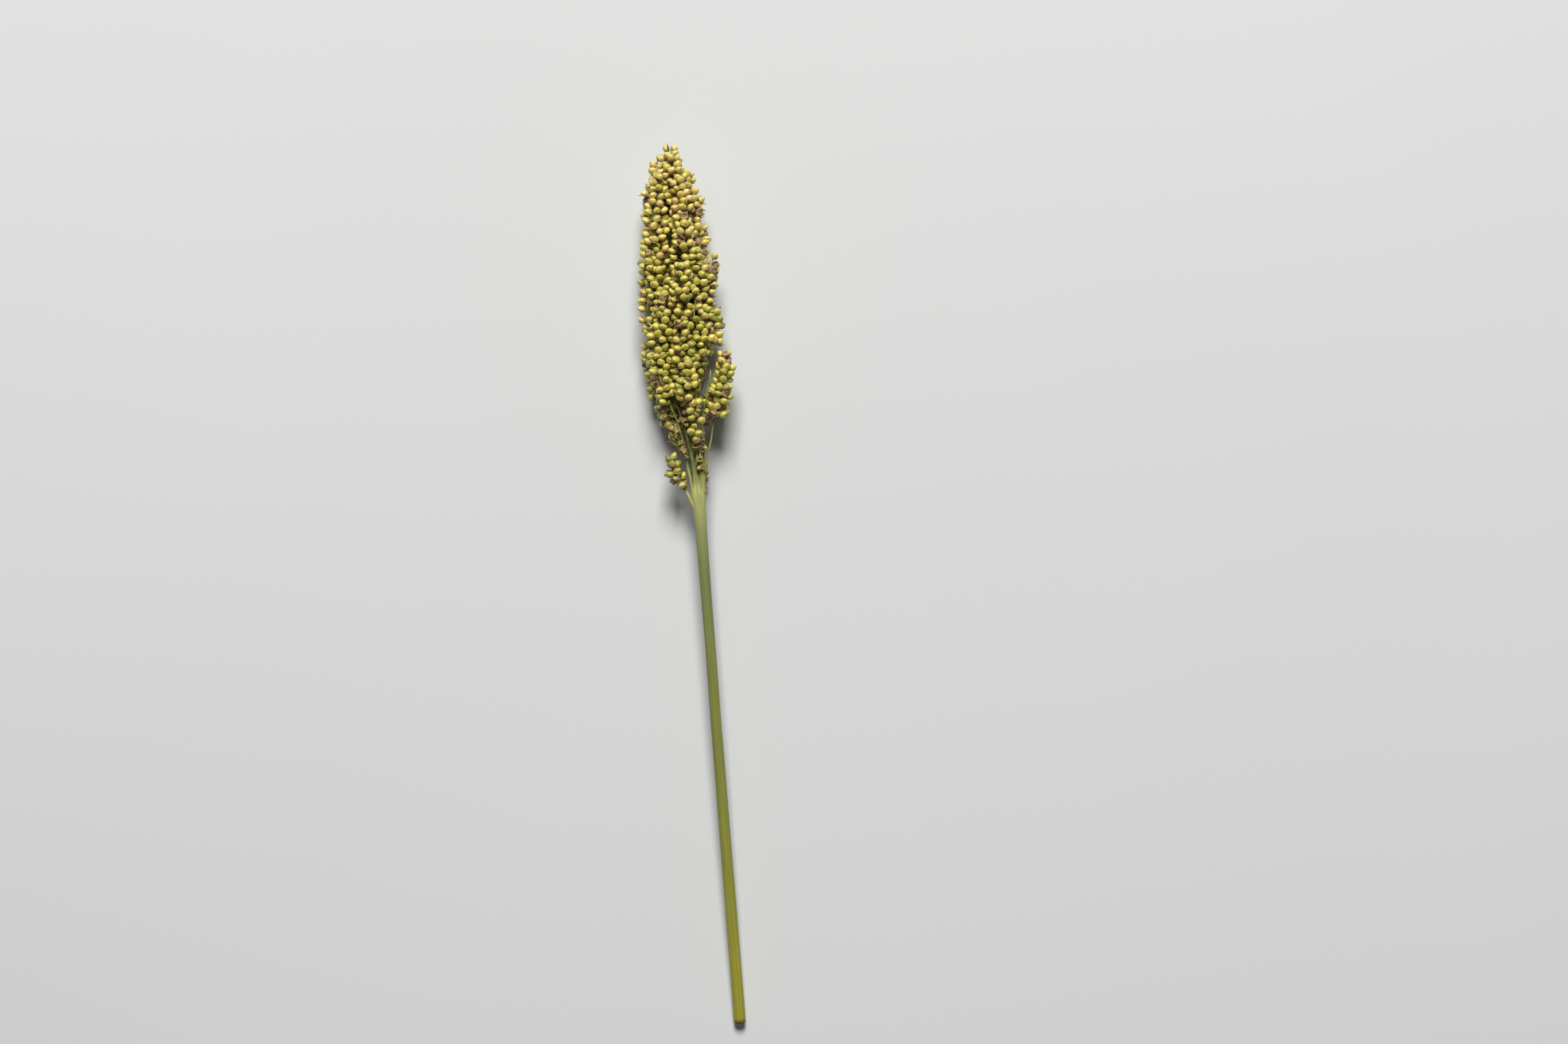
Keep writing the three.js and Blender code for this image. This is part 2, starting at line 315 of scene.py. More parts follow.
outline = {"foot": 0.18, "span": 0.76, "fullness": 0.6}  # the part of a sine's arch that a cluster follows


def spindle(radius, t):
    arch = math.sin(math.pi * (outline["foot"] + outline["span"] * min(1, max(0, t))))
    return radius * arch ** outline["fullness"]


sprayBow = 0.8  # how far a spray's middle stands out past the line from its foot to its tip


def bowed(spray):
    middleOut = (spray["footOut"] + spray["tipOut"]) / 2 + sprayBow
    return {**spray, "around": math.radians(spray["around"]), "middleOut": middleOut}


tierRules = {
    "turn": (-0.12, 0.12),  # ranges that each cluster draws from
    "start": (-4, 4),
    "length": (0.88, 1.12),
    "radius": (0.93, 1.07),
    "tipOut": (0, 2.2),
    "belowTip": 4,          # no cluster of a tier ends closer to the head's tip
    "footInset": 3.5,       # from the head's outline to the skin of a cluster's foot
    "leastOut": 1.5,
    "tipInset": 0.5,        # of the cluster's radius
}


def growClusters():
    draw = makeDraw(plant["seed"])
    clusters = []
    highest = plant["headLength"] - tierRules["belowTip"]
    for tier in tiers:
        turn = draw(0, 2 * math.pi)
        for i in range(tier["count"]):
            around = turn + 2 * math.pi * (i + draw(*tierRules["turn"])) / tier["count"]
            start = tier["start"] + draw(*tierRules["start"])
            end = min(highest, start + tier["length"] * draw(*tierRules["length"]))
            radius = tier["radius"] * draw(*tierRules["radius"])
            tipOut = max(0, headWidth(end) - radius * tierRules["tipInset"])
            clusters.append({
                "start": start, "end": end, "around": around, "radius": radius,
                "footOut": max(tierRules["leastOut"], headWidth(start) - radius - tierRules["footInset"]),
                "middleOut": max(0, headWidth((start + end) / 2) - radius),
                "tipOut": tipOut + draw(*tierRules["tipOut"]),
            })
    clusters.append({**tipCluster, "around": 0, "footOut": 0, "middleOut": 0, "tipOut": 0})
    return clusters + [bowed(spray) for spray in outstanding]


def clusterOut(cluster, t):
    bend = 2 * cluster["middleOut"] - (cluster["footOut"] + cluster["tipOut"]) / 2
    return (1 - t) ** 2 * cluster["footOut"] + 2 * t * (1 - t) * bend + t * t * cluster["tipOut"]


def alongCluster(cluster, t):
    along = cluster["start"] + t * (cluster["end"] - cluster["start"])
    return placeAround(along, cluster["around"], clusterOut(cluster, t))


def alongOf(point):
    return point.y - axisPoint(0).y


def depthIn(cluster, point):
    along = alongOf(point)
    length = cluster["end"] - cluster["start"]
    t = (along - cluster["start"]) / length
    past = max(0, -t, t - 1) * length
    centre = alongCluster(cluster, min(1, max(0, t)))
    return math.hypot(point.x - centre.x, point.z - centre.z, past) - spindle(cluster["radius"], t)


nudge = 0.01  # how far to either side of a place its direction is taken


def waysFrom(ahead):
    front = (up - ahead * up.dot(ahead)).normalized()
    return ahead, front, ahead.cross(front)


def waysAt(centreAt, t):
    return waysFrom((centreAt(t + nudge) - centreAt(t - nudge)).normalized())


def setting(centre, ahead, front, side, scale):
    turn = Matrix((front, side, ahead)).transposed().to_4x4()
    return Matrix.Translation(centre) @ turn @ Matrix.Scale(scale, 4)


# Mesh helpers

lowest = 0.02  # nothing reaches under the surface that the plant lies on


def finishPiece(bm, name, materials, replaced):
    for vert in bm.verts:
        vert.co.z = max(vert.co.z, lowest)
    bmesh.ops.recalc_face_normals(bm, faces=bm.faces)
    bmesh.ops.scale(bm, vec=(mm, mm, mm), verts=bm.verts)
    mesh = meshOf(bm, name)
    for face in mesh.polygons:
        face.use_smooth = len(face.vertices) <= 4  # a cut end stays flat
    for material in materials:
        mesh.materials.append(material)
    piece = bpy.data.objects.new(name, mesh)
    scene.collection.objects.link(piece)
    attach(piece, "root")
    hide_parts(*replaced)
    print(name, len(mesh.polygons), "faces")


def sweep(bm, settings, places, sides, endSkin=0):
    vectors = bm.verts.layers.float_vector
    layer = vectors.get("straight") or vectors.new("straight")
    ring = bmesh.ops.create_circle(bm, segments=sides, radius=1)["verts"]
    for vert in ring:
        vert[layer] = Vector((vert.co.x, 0, vert.co.y))
    edges = list({edge for vert in ring for edge in vert.link_edges})
    bmesh.ops.transform(bm, matrix=settings[0], verts=ring)
    firstEdges = edges
    allVerts = list(ring)
    for vert in ring:
        vert[layer].y = places[0]
    for before, after, place in zip(settings, settings[1:], places[1:]):
        grown = bmesh.ops.extrude_edge_only(bm, edges=edges)["geom"]
        ring = [part for part in grown if isinstance(part, bmesh.types.BMVert)]
        edges = [part for part in grown if isinstance(part, bmesh.types.BMEdge)]
        bmesh.ops.transform(bm, matrix=after @ before.inverted(), verts=ring)
        for vert in ring:
            vert[layer].y = place
        allVerts += ring
    bmesh.ops.edgeloop_fill(bm, edges=firstEdges, mat_nr=endSkin)
    bmesh.ops.edgeloop_fill(bm, edges=edges, mat_nr=endSkin)
    return allVerts


def addCopy(bm, model, matrix, tint):
    copy = model.copy()
    copy.transform(matrix)
    copy.attributes["tint"].data.foreach_set("value", [tint] * len(copy.vertices))
    bm.from_mesh(copy)
    bpy.data.meshes.remove(copy)


def floatLayers(bm):
    return [bm.verts.layers.float.new(name) for name in ("along", "tint")]


# Stem, base node and rachis

stem = {
    "sections": [  # distance along from the base node, radius
        (-plant["stemLength"], 3.15), (-245, 3.1), (-200, 3.0), (-155, 2.9), (-110, 2.8), (-65, 2.8),
        (-25, 3.0), (-7, 3.25), (-2, 3.5), (1.5, 3.5), (5, 2.5), (12, 1.8),
        (25, 1.65), (62, 1.55), (90, 1.5), (120, 1.2), (145, 0.9), (162, 0.7),
    ],
    "restHeight": 3.15,  # the cut end's middle, above the surface it lies on
    "sides": 60,
    "step": 2.5,
    "ribs": 17,
    "ribHeight": 0.06,
    "ribDrift": 0.4,       # how far the ribs stray round the stem, in radians of their own wave
    "keelHeight": 0.18,    # one narrow ridge, and where on the stem it runs, in radians
    "keelAround": 0.9,
    "keelSharpness": 24,
    "flutes": 6,           # of the rachis, above the base node
    "fluteHeight": 0.22,
    "fluteStart": 4,
    "fluteTwist": 0.02,    # radians of their wave for each millimetre up
    "unevenHeight": 0.15,
    "unevenAcross": 1.5,   # scales of the unevenness, round the stem and along it
    "unevenAlong": 0.03,
    "fullRelief": 2.5,     # a thinner stretch has less relief
}
baseNode = {"middle": -0.5, "reach": 3.5, "lobes": 5, "lobeTurn": 0.5, "lobeHeight": 0.4,
            "fineLobes": 9, "fineHeight": 0.25}


def stemRadius(along):
    sections = stem["sections"]
    for (low, lowRadius), (high, highRadius) in zip(sections, sections[1:]):
        if along <= high:
            t = max(0, (along - low) / (high - low))
            t = t * t * (3 - 2 * t)
            return lowRadius + (highRadius - lowRadius) * t
    return sections[-1][1]


def ribbed(vert, layer, radius):
    around = math.atan2(vert[layer].z, vert[layer].x)
    along = vert[layer].y
    drift = stem["ribDrift"] * math.sin(around * 3)
    rib = math.sin(stem["ribs"] * around + drift) * stem["ribHeight"]
    rib += stem["keelHeight"] * max(0, math.cos(around - stem["keelAround"])) ** stem["keelSharpness"]
    if along > stem["fluteStart"]:
        rib += stem["fluteHeight"] * math.sin(stem["flutes"] * around + stem["fluteTwist"] * along)
    knuckle = math.exp(-((along - baseNode["middle"]) / baseNode["reach"]) ** 2)
    rib += knuckle * (baseNode["lobeHeight"] * math.sin(baseNode["lobes"] * around + baseNode["lobeTurn"])
                      + baseNode["fineHeight"] * math.sin(baseNode["fineLobes"] * around))
    spot = Vector((vert[layer].x * stem["unevenAcross"], along * stem["unevenAlong"],
                   vert[layer].z * stem["unevenAcross"]))
    rib += stem["unevenHeight"] * noise.noise(spot)
    return rib * min(1, radius / stem["fullRelief"])


def makeStem(materials):
    bm = bmesh.new()
    first = stem["sections"][0][0]
    last = stem["sections"][-1][0]
    steps = round((last - first) / stem["step"])
    places = [first + (last - first) * step / steps for step in range(steps + 1)]
    settings = [setting(axisPoint(along), *waysAt(axisPoint, along), stemRadius(along)) for along in places]
    verts = sweep(bm, settings, places, stem["sides"], endSkin=1)
    layer = bm.verts.layers.float_vector["straight"]
    for vert in verts:
        radius = stemRadius(vert[layer].y)
        outward = (vert.co - axisPoint(vert[layer].y)).normalized()
        vert.co += outward * ribbed(vert, layer, radius)
    finishPiece(bm, "stemAndRachis", materials, ["stem"])


def pithMaterial():
    material, tree, surface = startMaterial("cutPith", 0.8)
    place = objectPlace(tree)
    fromMiddle = tree.nodes.new("ShaderNodeVectorMath")
    fromMiddle.operation = "DISTANCE"
    plug(tree, stretched(tree, place, (1, 0, 1)), fromMiddle.inputs[0])
    fromMiddle.inputs[1].default_value = (0, 0, stem["restHeight"] * mm)
    rim = between(tree, fromMiddle.outputs["Value"], 0.0024, 0.003)
    body = mixColour(tree, rim, rgb(224, 218, 176), rgb(146, 152, 78))
    threads = spotsOn(tree, place, 2400)
    dotted = tinge(tree, threads, 0.22, 0.12, 0.6, body, rgb(176, 164, 112))
    plug(tree, dotted, surface.inputs["Base Color"])
    bumpOn(tree, surface, threads, 0.00006)
    return material


stemColours = {
    "top": 60,  # millimetres above the base node, where the row of colours ends
    "along": [
        (0.0, rgb(170, 162, 44)), (0.11, rgb(164, 158, 46)), (0.3, rgb(146, 147, 54)),
        (0.52, rgb(132, 136, 60)), (0.7, rgb(124, 130, 78)), (0.77, rgb(146, 150, 93)),
        (0.81, rgb(178, 180, 112)), (0.83, rgb(194, 193, 118)), (0.85, rgb(138, 144, 82)),
        (0.88, rgb(106, 116, 66)),
    ],
    "stripe": rgb(86, 104, 46),
    "fineStripe": rgb(196, 200, 150),
    "dust": rgb(226, 226, 206),
    "blot": rgb(96, 84, 44),
}


def stemMaterial():
    material, tree, surface = startMaterial("greenStem", 0.46)
    straight = attribute(tree, "straight", "Vector")
    upStem = between(tree, lengthwise(tree, straight), -plant["stemLength"], stemColours["top"])
    body = colourRamp(tree, upStem, stemColours["along"])
    stripes = noiseOn(tree, stretched(tree, straight, (7, 0.012, 7)), 1.0, 3, 0.6)
    fine = noiseOn(tree, stretched(tree, straight, (22, 0.03, 22)), 1.0, 2, 0.6)
    dark = tinge(tree, stripes, 0.42, 0.62, 0.42, body, stemColours["stripe"])
    pale = tinge(tree, fine, 0.55, 0.72, 0.35, dark, stemColours["fineStripe"])
    dust = spotsOn(tree, stretched(tree, straight, (2.4, 0.9, 2.4)), 1.0)
    dusted = tinge(tree, dust, 0.1, 0.05, 0.25, pale, stemColours["dust"])
    blots = noiseOn(tree, stretched(tree, straight, (1.6, 0.18, 1.6)), 1.0, 4, 0.7)
    final = tinge(tree, blots, 0.66, 0.74, 0.5, dusted, stemColours["blot"])
    plug(tree, final, surface.inputs["Base Color"])
    bumpOn(tree, surface, combine(tree, "ADD", stripes, fine), 0.00008)
    return material


# Stalks: one up the middle of each cluster, from the rachis or the base node

stalk = {
    "radius": 0.66,
    "tipRadius": 0.3,
    "footRadius": 1.0,   # of a stalk that leaves the base node
    "upperFoot": 0.85,   # and of one that leaves the rachis
    "footLength": 5,     # over which the foot narrows to the stalk's own thickness
    "footSunk": 9,       # how far down inside the stem a foot begins
    "sides": 8,
    "steps": 26,
    "rise": 24,          # how far below its cluster a stalk leaves the rachis
    "highestFirst": 12,  # stalks that would leave lower than this all leave the base node itself
    "climb": 0.2,        # how far up the node such a foot stands, of the place it would have had
    "inset": 0.15,       # from the stem's skin to the foot's
    "enters": 0.12,      # where a stalk reaches its cluster's middle line, of the cluster's length,
    "runsOn": 0.8,       # and how far it goes on from there
    "below": 0.55,       # shares of its steps below that place
    "within": 0.45,      # and past it
    "bendAt": 0.5,
    "spread": (0.3, 2.4),
    "wander": 1.1,
    "wanderScale": 0.1,
    "steady": 5,         # steps before it wanders, and as many until it does so fully
    "thickness": (0.75, 1.12),  # of one stalk against the usual
    "knotPlace": (22, 30),
    "knotHeight": 0.3,
    "knotReach": 1.1,
    "clearFront": 62,    # degrees to either side of the front where no stalk leaves the node
}
driftRange = (0, 50)  # where in the noise a stalk or a cluster starts


def stalkPath(cluster, spread):
    root = cluster["start"] - stalk["rise"]
    fromNode = root < stalk["highestFirst"]
    foot = stalk["footRadius"] if fromNode else stalk["upperFoot"]
    root = (stalk["climb"] * max(0, root) if fromNode else root) - stalk["footSunk"]
    around = cluster["around"]
    if fromNode:
        clear = math.radians(stalk["clearFront"])
        offFront = (around + math.pi / 2) % (2 * math.pi) - math.pi
        if abs(offFront) < clear:
            around = math.pi / 2 + math.copysign(clear, offFront)
    low = placeAround(root, around, max(0, stemRadius(root) - foot - stalk["inset"]))
    entry = alongCluster(cluster, stalk["enters"])
    bend = placeAround(root, around, stemRadius(root) + spread)
    bend.y += (entry.y - low.y) * stalk["bendAt"]
    points = []
    for step in range(stalk["steps"]):
        t = step / (stalk["steps"] - 1)
        if t < stalk["below"]:
            u = t / stalk["below"]
            points.append(low * (1 - u) ** 2 + bend * 2 * u * (1 - u) + entry * u * u)
        else:
            past = stalk["runsOn"] * (t - stalk["below"]) / stalk["within"]
            points.append(alongCluster(cluster, stalk["enters"] + past))
    return points, foot


def tubeSettings(points, radiusAt):
    last = len(points) - 1
    settings = []
    for step, point in enumerate(points):
        ahead = (points[min(last, step + 1)] - points[max(0, step - 1)]).normalized()
        settings.append(setting(point, *waysFrom(ahead), radiusAt(step / last)))
    return settings


def makeStalks(clusters, material):
    bm = bmesh.new()
    draw = makeDraw(plant["seed"] + 5)
    for cluster in clusters:
        points, foot = stalkPath(cluster, draw(*stalk["spread"]))
        drift = Vector((draw(*driftRange), 0, 0))
        for step, point in enumerate(points):
            share = min(1, max(0, step - stalk["steady"]) / stalk["steady"])
            point += stalk["wander"] * share * noise.noise_vector(point * stalk["wanderScale"] + drift)
            point.z = max(point.z, stalk["radius"])
        length = sum((after - before).length for before, after in zip(points, points[1:]))

        def radiusAt(t):
            thick = thickness * (stalk["radius"] + (stalk["tipRadius"] - stalk["radius"]) * t)
            knuckle = stalk["knotHeight"] * math.exp(-((t * length - knot) / stalk["knotReach"]) ** 2)
            taper = math.exp(-max(0, t * length - stalk["footSunk"]) / stalk["footLength"])
            return thick + (foot - thick) * taper + knuckle

        knot = draw(*stalk["knotPlace"])
        thickness = draw(*stalk["thickness"])
        start = draw(0, 100)
        sweep(bm, tubeSettings(points, radiusAt), [start + point.y for point in points], stalk["sides"])
    finishPiece(bm, "branchStalks", [material], ["stem"])


def stalkMaterial():
    material, tree, surface = startMaterial("branchGreen", 0.5)
    place = objectPlace(tree)
    cloud = noiseOn(tree, place, 150, 3)
    colour = colourRamp(tree, cloud, [
        (0.3, rgb(96, 108, 46)), (0.5, rgb(140, 148, 72)), (0.66, rgb(176, 176, 104)),
        (0.8, rgb(150, 124, 84)),
    ])
    low = between(tree, lengthwise(tree, place), 0.047, 0.075, 0.75, 0.0)
    pale = mixColour(tree, low, colour, rgb(190, 190, 118))
    streaks = noiseOn(tree, stretched(tree, place, (1, 0.06, 1)), 2600, 2)
    plug(tree, tinge(tree, streaks, 0.45, 0.7, 0.4, pale, rgb(104, 116, 56)),
         surface.inputs["Base Color"])
    bumpOn(tree, surface, streaks, 0.00007)
    return material


# Where the grains stand: rings on each cluster, then pushed apart until they overlap only slightly

grain = {
    "across": 4.6,     # full sizes, as sorghum grains commonly have
    "thick": 3.55,
    "out": 4.7,
    "point": 0.4,      # the small pointed tip beyond the round skin
    "pointSharpness": 8,
    "taper": (0.08, 0.05),  # how it narrows towards its point, in a line and in a curve
    "sides": 10,
    "rows": 7,
    "rowPitch": 3.4,
    "ringPitch": 4.2,
    "fewest": 3,       # in a ring
    "narrowest": 0.6,  # radius of a ring
    "pedicel": 2.5,    # from a ring down to the place on the cluster's middle line where pedicels start
    "leanMore": 0.5,   # towards the cluster's tip, for grains nearer to it
    "sunk": 2.15,      # a grain's middle, inside its cluster's surface
    "secondSunk": 5.4,
    "deepest": -7.2,   # grains further inside the clusters than this are left out,
    "huskless": -5.2,  # and those further in than this have no husks
    "sprayGap": 5.3,   # from the skin of a loose spray to the middle of a grain of the dense head
    "closest": 0.83,   # of the sum of two grains' reaches, when they are first set
    "farthest": 5.0,   # neighbours are looked for within this distance
    "settling": 14,    # rounds of pushing grains apart
    "searchEvery": 4,  # rounds between two searches for neighbours
    "settled": 0.97,   # of the sum of their reaches, when they are left alone
    "push": 0.3,
    "pull": 0.06,      # back to where the grain was first set
    "emptyShare": 0.06,
    "smallShare": 0.08,
    "ripeSize": 0.88,  # a smaller grain has this part of the ripeness that it draws
    "unripe": 0.2,
    "sway": 1.6,       # how far a cluster's grains wander from its straight line
    "swayScale": 0.05,
}
tipGrain = {"lean": 4, "apart": 2.3, "back": 2.2, "pedicel": 6}  # of the grains on a cluster's tip
grainDraws = {  # ranges that each grain draws from
    "turn": (-0.22, 0.22),
    "lean": (-0.3, 0.75),
    "sideLean": (-0.35, 0.35),
    "twist": (-0.8, 0.8),
    "size": (0.9, 1.06),
    "smallSize": (0.68, 0.85),
    "across": (0.95, 1.05),
    "thick": (0.92, 1.08),
    "out": (0.93, 1.05),
    "standing": (-0.7, 1.0),
    "slide": (-0.9, 0.9),
}
grainWays = ("across", "thick", "out")
tiny = 1e-6


def reachOf(place, way):
    parts = [way.dot(place[name]) / half for name, half in zip(grainWays, place["half"])]
    return 1 / math.sqrt(sum(part * part for part in parts))


def setGrain(centre, ring, turn, draw):
    ahead, front, side = ring["ways"]
    isTip = ring["isTip"]
    outward = side * math.cos(turn) + front * math.sin(turn)
    lean = tipGrain["lean"] if isTip else draw(*grainDraws["lean"]) + grain["leanMore"] * ring["t"]
    out = (outward + ahead * lean + side * draw(*grainDraws["sideLean"])).normalized()
    across = (ahead.cross(outward) + ahead * draw(*grainDraws["twist"])).normalized()
    across = (across - out * across.dot(out)).normalized()
    isUsual = draw(0, 1) > grain["smallShare"]
    size = draw(*grainDraws["size" if isUsual else "smallSize"])
    shape = tuple(size * draw(*grainDraws[name]) for name in grainWays)
    standing = ring["tipApart"] if isTip else ring["radius"] + draw(*grainDraws["standing"])
    slide = draw(*grainDraws["slide"]) - (tipGrain["back"] if isTip else 0)
    place = centre + outward * standing + ahead * slide
    return {
        "centre": place, "home": place.copy(), "out": out, "across": across,
        "thick": out.cross(across), "ahead": ahead,
        "axis": centre - ahead * (tipGrain if isTip else grain)["pedicel"],
        "half": tuple(grain[name] * part / 2 for name, part in zip(grainWays, shape)),
        "shape": shape, "tint": draw(0, 1) * (1 if size > grain["ripeSize"] else grain["unripe"]),
        "kind": 1 if isTip else draw(0, 1),
    }


def setRing(cluster, t, sunk, drift, draw):
    centre = alongCluster(cluster, t)
    ring = {"t": t, "isTip": t == 1, "ways": waysAt(lambda u: alongCluster(cluster, u), t)}
    centre = centre + grain["sway"] * noise.noise_vector(centre * grain["swayScale"] + drift)
    ring["radius"] = spindle(cluster["radius"], t) - sunk
    phase = draw(0, 2 * math.pi)
    if t < cluster.get("bareFoot", 0) or (ring["radius"] < grain["narrowest"] and not ring["isTip"]):
        return []
    crown = cluster.get("crown", 1)
    ring["tipApart"] = tipGrain["apart"] if crown > 1 else 0
    if ring["isTip"] and crown > 1:
        phase = 0
    full = max(grain["fewest"], round(2 * math.pi * ring["radius"] / grain["ringPitch"]))
    count = crown if ring["isTip"] else full
    grains = []
    for i in range(count):
        turn = phase + 2 * math.pi * (i + draw(*grainDraws["turn"])) / count
        grains.append(setGrain(centre, ring, turn, draw))
    return grains


def grainCandidates(clusters, sprays):
    draw = makeDraw(plant["seed"] + 1)
    candidates = []
    for cluster, owner in [*((c, "seed_head") for c in clusters), *((s, n) for n, s in sprays.items())]:
        rings = max(2, round((cluster["end"] - cluster["start"]) / grain["rowPitch"]))
        drift = Vector((draw(*driftRange), 0, 0))
        for sunk in (grain["sunk"], grain["secondSunk"]):
            for number in range(rings + 1):
                for place in setRing(cluster, number / rings, sunk, drift, draw):
                    candidates.append({**place, "owner": owner})
    return candidates


# where stalks show instead of grains, and at the foot's left, where no grains grow at all
bareFront = {"left": -13, "right": 0.5, "top": 57, "slope": 1.6, "above": 20}
bareLeft = {"right": -1, "top": 37}


def isBare(place):
    along = alongOf(place["centre"])
    sideways = place["centre"].x - axisPoint(along).x
    middle = (bareFront["left"] + bareFront["right"]) / 2
    top = bareFront["top"] - bareFront["slope"] * abs(sideways - middle)
    inside = bareFront["left"] < sideways < bareFront["right"] and place["centre"].z > bareFront["above"]
    return (inside and along < top) or (sideways < bareLeft["right"] and along < bareLeft["top"])


gap = {"spray": "spray_right", "start": 53, "end": 80, "width": 6.4, "into": 1}  # seen through from above


def isInGap(place, sprays):
    spray = sprays[gap["spray"]]
    along = alongOf(place["centre"])
    if not gap["start"] < along < gap["end"]:
        return False
    t = min(1, (along - spray["start"]) / (spray["end"] - spray["start"]))
    edge = alongCluster(spray, t).x - spindle(spray["radius"], t)
    return edge - gap["width"] < place["centre"].x < edge + gap["into"]


def isCrowded(place, others):
    for other in others:
        way = other["centre"] - place["centre"]
        apart = max(way.length, tiny)
        way = way / apart
        if apart < grain["closest"] * (reachOf(place, way) + reachOf(other, way)):
            return True
    return False


def chooseGrains(candidates, clusters, sprays):
    leftOut = grain["deepest"] - 1
    for place in candidates:
        if place["owner"] == "seed_head":
            place["depth"] = min(depthIn(cluster, place["centre"]) for cluster in clusters)
            sprayDepth = min(depthIn(spray, place["centre"]) for spray in sprays.values())
            if sprayDepth < grain["sprayGap"] or isBare(place) or isInGap(place, sprays):
                place["depth"] = leftOut
        else:
            place["depth"] = depthIn(sprays[place["owner"]], place["centre"])
    wanted = [place for place in candidates if place["depth"] > grain["deepest"]]
    wanted.sort(key=lambda place: -place["depth"])
    cells = {}
    chosen = []
    for place in wanted:
        cell = tuple(int(c // grain["farthest"]) for c in place["centre"])
        near = [other for dx in (-1, 0, 1) for dy in (-1, 0, 1) for dz in (-1, 0, 1)
                for other in cells.get((cell[0] + dx, cell[1] + dy, cell[2] + dz), [])]
        if not isCrowded(place, near):
            chosen.append(place)
            cells.setdefault(cell, []).append(place)
    return chosen


def settleGrains(places):
    for turn in range(grain["settling"]):
        if turn % grain["searchEvery"] == 0:
            tree = kdtree.KDTree(len(places))
            for i, place in enumerate(places):
                tree.insert(place["centre"], i)
            tree.balance()
            pairs = [(i, j) for i, place in enumerate(places)
                     for _, j, _ in tree.find_range(place["centre"], grain["farthest"]) if j > i]
        for i, j in pairs:
            first = places[i]
            second = places[j]
            way = second["centre"] - first["centre"]
            apart = way.length
            if apart < tiny:
                continue
            way /= apart
            over = grain["settled"] * (reachOf(first, way) + reachOf(second, way)) - apart
            if over > 0:
                first["centre"] -= way * over * grain["push"]
                second["centre"] += way * over * grain["push"]
        for place in places:
            place["centre"] += (place["home"] - place["centre"]) * grain["pull"]
            place["centre"].z = max(place["centre"].z, reachOf(place, -up))


# Grain, husk and spikelet shapes, each made once and copied to every place

def grainModel():
    bm = bmesh.new()
    bmesh.ops.create_uvsphere(bm, u_segments=grain["sides"], v_segments=grain["rows"], radius=1)
    along = floatLayers(bm)[0]
    for vert in bm.verts:
        rise = vert.co.z
        narrow = 1 - grain["taper"][0] * rise - grain["taper"][1] * rise * rise
        vert[along] = (rise + 1) / 2
        point = grain["point"] * max(0, rise) ** grain["pointSharpness"]
        vert.co = Vector((vert.co.x * narrow * grain["across"] / 2, vert.co.y * narrow * grain["thick"] / 2,
                          rise * grain["out"] / 2 + point))
    return meshOf(bm, "grainModel")


# rims in degrees round from the grain's foot: at its narrow ends, and at the two scales' tips
huskForms = [
    {"thickness": 0.1, "sideRim": 52, "lobeRim": 88, "flare": 0.14, "hollow": 0.3},
    {"thickness": 0.12, "sideRim": 60, "lobeRim": 104, "flare": 0.2, "hollow": 0.3},
    {"thickness": 0.13, "sideRim": 72, "lobeRim": 126, "flare": 0.28, "hollow": 0.3},
]
emptyHusk = {"thickness": 0.1, "sideRim": 70, "lobeRim": 138, "flare": 0.75, "hollow": 0.35}
husk = {
    "sides": 12,
    "rows": 7,
    "innerRim": 0.82,  # of the rim's angle, where the inner skin begins
    "sideFlare": 0.25,  # of the flare at the scales' tips
    "innerTone": 0.5,
}


def huskModel(name, form):
    rows = husk["rows"]
    bm = bmesh.new()
    bmesh.ops.create_uvsphere(bm, u_segments=husk["sides"], v_segments=rows, radius=1)
    along = floatLayers(bm)[0]
    for vert in bm.verts:
        around = math.atan2(vert.co.y, vert.co.x)
        row = round(rows * math.acos(max(-1, min(1, -vert.co.z))) / math.pi)
        lobe = math.sin(around) ** 2
        rim = math.radians(form["sideRim"] + (form["lobeRim"] - form["sideRim"]) * lobe)
        t = min(1, row / (rows - 2))
        angle = rim * t
        flare = husk["sideFlare"] + (1 - husk["sideFlare"]) * lobe
        grown = form["thickness"] + form["flare"] * t ** 3 * flare
        if row == rows - 1:
            angle = rim * husk["innerRim"]
            grown = -form["hollow"]
        if row == rows:
            angle = 0
            grown = -form["hollow"] * 2
        flat = 0 if row in (0, rows) else math.sin(angle)
        vert[along] = t if row < rows - 1 else husk["innerTone"]
        vert.co = Vector((flat * math.cos(around) * (grain["across"] / 2 + grown),
                          flat * math.sin(around) * (grain["thick"] / 2 + grown),
                          -math.cos(angle) * (grain["out"] / 2 + grown)))
    return meshOf(bm, name)


spikelet = {
    "length": 4.3,
    "width": 1.3,
    "thick": 0.6,
    "bend": 0.7,
    "sides": 6,
    "footWidth": 1.1,  # of its width, and what it loses from there to its tip
    "taper": 0.8,
    "share": 0.42,     # of the two places beside each grain
    "beside": 0.75,    # where it stands, along the grain's two short ways,
    "behind": 0.66,
    "off": 1.75,       # and how far out
    "splay": (0.35, 0.75),
    "lift": (0, 0.25),
    "size": (0.75, 1.1),
}


def spikeletModel():
    bm = bmesh.new()
    bmesh.ops.create_uvsphere(bm, u_segments=spikelet["sides"], v_segments=spikelet["sides"], radius=1)
    along = floatLayers(bm)[0]
    for vert in bm.verts:
        rise = (vert.co.z + 1) / 2
        narrow = spikelet["footWidth"] - spikelet["taper"] * rise
        bend = spikelet["bend"] * rise * rise
        vert[along] = rise
        vert.co = Vector((vert.co.x * spikelet["width"] / 2 * narrow,
                          vert.co.y * spikelet["thick"] / 2 * narrow + bend, rise * spikelet["length"]))
    return meshOf(bm, "spikeletModel")


